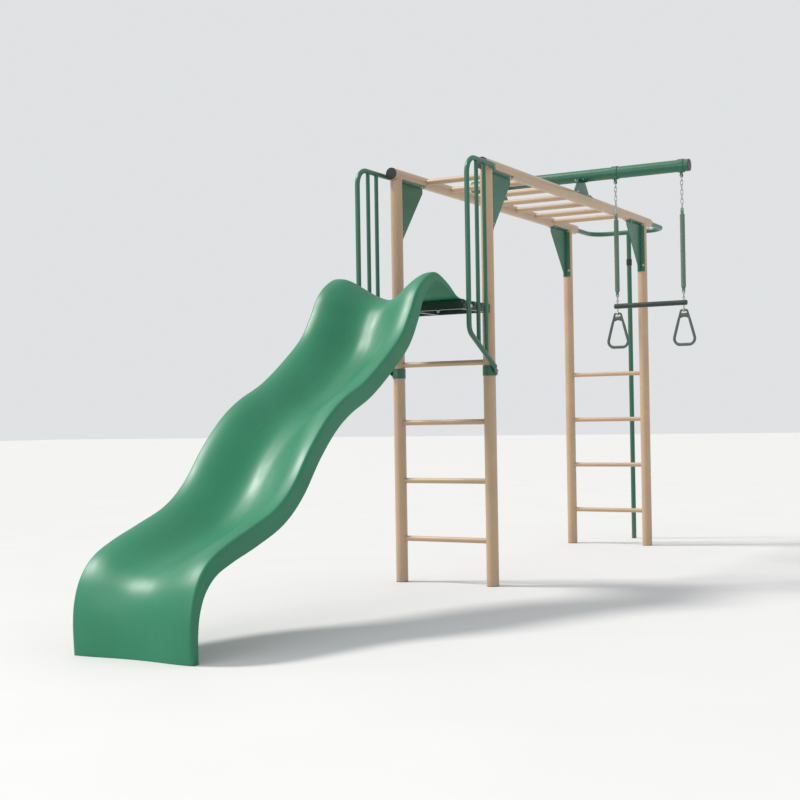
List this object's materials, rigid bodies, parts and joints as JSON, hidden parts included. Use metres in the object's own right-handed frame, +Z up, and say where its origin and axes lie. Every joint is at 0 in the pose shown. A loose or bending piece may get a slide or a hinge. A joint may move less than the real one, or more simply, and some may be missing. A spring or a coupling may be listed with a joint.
{
  "type": "monkey bars",
  "caption": "Monkey-bar station on two end ladders, with an overhead ladder, guard hoops, deck, wave slide, end loop with pole, and a beam with a swinging trapeze and hand rings.",
  "frame": {"origin": "centre of the whole station's footprint, on the ground", "axes": "+X from the left posts to the right posts, where the trapeze hangs, +Y from the slide towards the pole along the overhead ladder, +Z up"},
  "size_m": [1.402, 5.3775, 2.332],
  "materials": {
    "tan_powder_coat": "satin powder coat with a fine orange-peel texture",
    "green_powder_coat": "satin powder coat",
    "slide_plastic": "moulded plastic, semi-gloss, softly worn along the bed",
    "deck_coating": "dark satin coating with a tread texture",
    "grip_plastic": "moulded soft-touch plastic",
    "ring_plastic": "moulded plastic",
    "bar_coating": "dark satin coating",
    "zinc_steel": "zinc plated",
    "black_plastic": "moulded plastic",
    "hanger_coating": "satin powder coat, as the beam"
  },
  "bodies": {
    "station": {"beam_bracket_left": "green_powder_coat", "beam_bracket_right": "green_powder_coat", "beam_coupler": "green_powder_coat", "beam_end_cap": "black_plastic", "carriage_bolts": "zinc_steel", "cross_beam": "green_powder_coat", "deck_frame": "deck_coating", "deck_panel": "deck_coating", "end_loop": "green_powder_coat", "foot_caps": "black_plastic", "frame_screws": "zinc_steel", "front_rung_1": "tan_powder_coat", "front_rung_2": "tan_powder_coat", "front_rung_3": "tan_powder_coat", "front_rung_4": "tan_powder_coat", "gusset_front_left": "green_powder_coat", "gusset_front_right": "green_powder_coat", "gusset_rear_left": "green_powder_coat", "gusset_rear_right": "green_powder_coat", "hanger_left": "hanger_coating", "hanger_right": "hanger_coating", "hoop_bars_left": "green_powder_coat", "hoop_bars_right": "green_powder_coat", "hoop_left": "green_powder_coat", "hoop_right": "green_powder_coat", "overhead_rung_1": "tan_powder_coat", "overhead_rung_2": "tan_powder_coat", "overhead_rung_3": "tan_powder_coat", "overhead_rung_4": "tan_powder_coat", "overhead_rung_5": "tan_powder_coat", "overhead_rung_6": "tan_powder_coat", "overhead_rung_7": "tan_powder_coat", "pole": "green_powder_coat", "pole_collar": "black_plastic", "post_front_left_lower": "tan_powder_coat", "post_front_left_upper": "tan_powder_coat", "post_front_right_lower": "tan_powder_coat", "post_front_right_upper": "tan_powder_coat", "post_rear_left_lower": "tan_powder_coat", "post_rear_left_upper": "tan_powder_coat", "post_rear_right_lower": "tan_powder_coat", "post_rear_right_upper": "tan_powder_coat", "rail_end_caps": "black_plastic", "rail_left": "tan_powder_coat", "rail_right": "tan_powder_coat", "rear_rung_1": "tan_powder_coat", "rear_rung_2": "tan_powder_coat", "rear_rung_3": "tan_powder_coat", "rear_rung_4": "tan_powder_coat", "saddle_left": "green_powder_coat", "saddle_right": "green_powder_coat", "slide": "slide_plastic"},
    "trapeze": {"trapeze_bar": "bar_coating", "eye_bolts": "zinc_steel", "chain_left": "zinc_steel", "chain_right": "zinc_steel", "grip_left": "grip_plastic", "grip_right": "grip_plastic"},
    "left_ring": {"ring_left": "ring_plastic"},
    "right_ring": {"ring_right": "ring_plastic"}
  },
  "joints": [
    {"name": "trapeze_swing", "type": "hinge", "parent": "station", "child": "trapeze", "pos_m": [0.43298, 1.11231, 2.236], "axis": [1, 0, 0], "range_deg": [-60, 60]},
    {"name": "left_ring_swing", "type": "hinge", "parent": "trapeze", "child": "left_ring", "pos_m": [0.23298, 1.11231, 1.462], "axis": [1, 0, 0], "range_deg": [-70, 70]},
    {"name": "right_ring_swing", "type": "hinge", "parent": "trapeze", "child": "right_ring", "pos_m": [0.63298, 1.11231, 1.462], "axis": [1, 0, 0], "range_deg": [-70, 70]}
  ]
}
